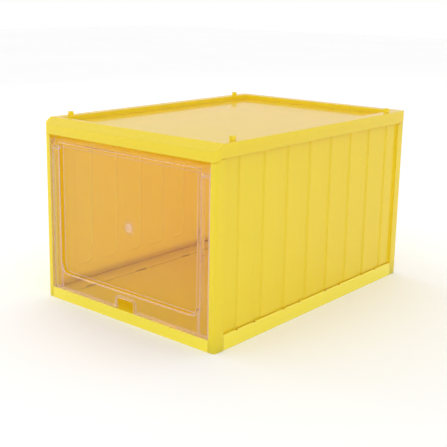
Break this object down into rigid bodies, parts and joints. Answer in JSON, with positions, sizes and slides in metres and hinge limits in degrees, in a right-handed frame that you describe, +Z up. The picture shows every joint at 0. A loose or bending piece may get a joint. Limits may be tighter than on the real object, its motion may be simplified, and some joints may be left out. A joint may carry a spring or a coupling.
{
  "type": "drop-front shoe box",
  "caption": "Stackable rigid plastic shoe box with fluted walls, a sunken top with stacking pegs, and a clear top-hinged front door with a finger notch.",
  "frame": {"origin": "middle of the box's footprint, on the surface that it stands on", "axes": "+Z up, -Y out of the front towards the user, +X to the right as one faces the door"},
  "size_m": [0.2414, 0.3384, 0.202],
  "materials": {
    "yellow_plastic": "gloss",
    "clear_plastic": "gloss"
  },
  "bodies": {
    "case": {"base_tray": "yellow_plastic", "left_side_panel": "yellow_plastic", "right_side_panel": "yellow_plastic", "back_panel": "yellow_plastic", "top_cover": "yellow_plastic"},
    "door": {"front_door": "clear_plastic"}
  },
  "joints": [
    {"name": "door_hinge", "type": "hinge", "parent": "case", "child": "door", "pos_m": [0, -0.1625, 0.1722], "axis": [-1, 0, 0], "range_deg": [0, 105]}
  ]
}
